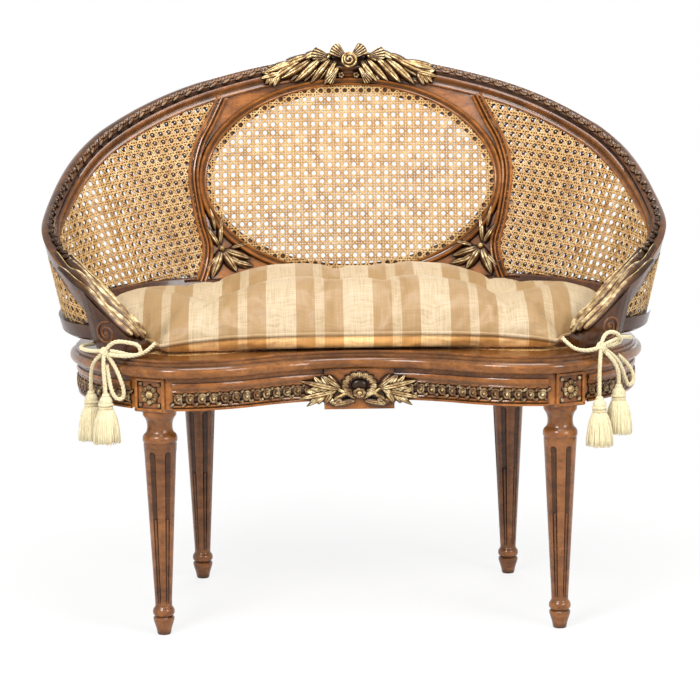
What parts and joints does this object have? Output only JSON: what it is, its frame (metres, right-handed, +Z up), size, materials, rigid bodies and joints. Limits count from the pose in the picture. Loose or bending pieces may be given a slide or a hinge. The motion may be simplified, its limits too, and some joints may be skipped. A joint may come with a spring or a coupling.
{
  "type": "loveseat",
  "caption": "Small basket-shaped loveseat with a caned wraparound back, an oval centre panel, fluted tapering legs and a loose striped seat cushion tied on with tasselled cords.",
  "frame": {"origin": "on the floor, under the middle of the whole seat's width and depth", "axes": "+X to the viewer's right as seen from the front, -Y to the front, +Z up"},
  "size_m": [1.0252, 0.5859, 0.8716],
  "materials": {
    "wood": "polished, worn gilding on the carving",
    "cane": "natural cane",
    "silk": "satin stripe",
    "cord": "twisted cord",
    "steel": "plain"
  },
  "bodies": {
    "root": {"apron_back": "wood", "apron_front": "wood", "apron_left": "wood", "apron_right": "wood", "arm_terminal_left": "wood", "arm_terminal_right": "wood", "back_post_left": "wood", "back_post_right": "wood", "bottom_rail_back": "wood", "bottom_rail_left": "wood", "bottom_rail_right": "wood", "cane_inner_left": "cane", "cane_inner_right": "cane", "cane_outer_left": "cane", "cane_outer_right": "cane", "cane_oval": "cane", "corner_block_front_left": "wood", "corner_block_front_right": "wood", "corner_block_rear_left": "wood", "corner_block_rear_right": "wood", "corner_block_screws": "steel", "crest_rail": "wood", "joint_dowels": "wood", "leg_front_left": "wood", "leg_front_right": "wood", "leg_rear_left": "wood", "leg_rear_right": "wood", "oval_frame_bottom": "wood", "oval_frame_left": "wood", "oval_frame_right": "wood", "oval_frame_top": "wood", "seat_cane": "cane", "seat_frame_back": "wood", "seat_frame_front": "wood", "seat_frame_left": "wood", "seat_frame_right": "wood", "spandrel_bottom_left": "wood", "spandrel_bottom_right": "wood", "spandrel_top_left": "wood", "spandrel_top_right": "wood", "stile_left": "wood", "stile_right": "wood", "tassel_cord_front_left": "cord", "tassel_cord_front_right": "cord", "tassel_cord_rear_left": "cord", "tassel_cord_rear_right": "cord", "tassel_front_left": "cord", "tassel_front_right": "cord", "tassel_rear_left": "cord", "tassel_rear_right": "cord", "tie_bow_left": "cord", "tie_bow_right": "cord", "tie_cord_front_left": "cord", "tie_cord_front_right": "cord", "tie_cord_rear_left": "cord", "tie_cord_rear_right": "cord", "top_rail_left": "wood", "top_rail_right": "wood"},
    "cushion": {"seat_cushion": "silk", "cushion_welt": "silk"}
  },
  "joints": [
    {"name": "cushion_lift", "type": "hinge", "parent": "root", "child": "cushion", "pos_m": [0, -0.222, 0.449], "axis": [1, 0, 0], "range_deg": [0, 20]}
  ]
}
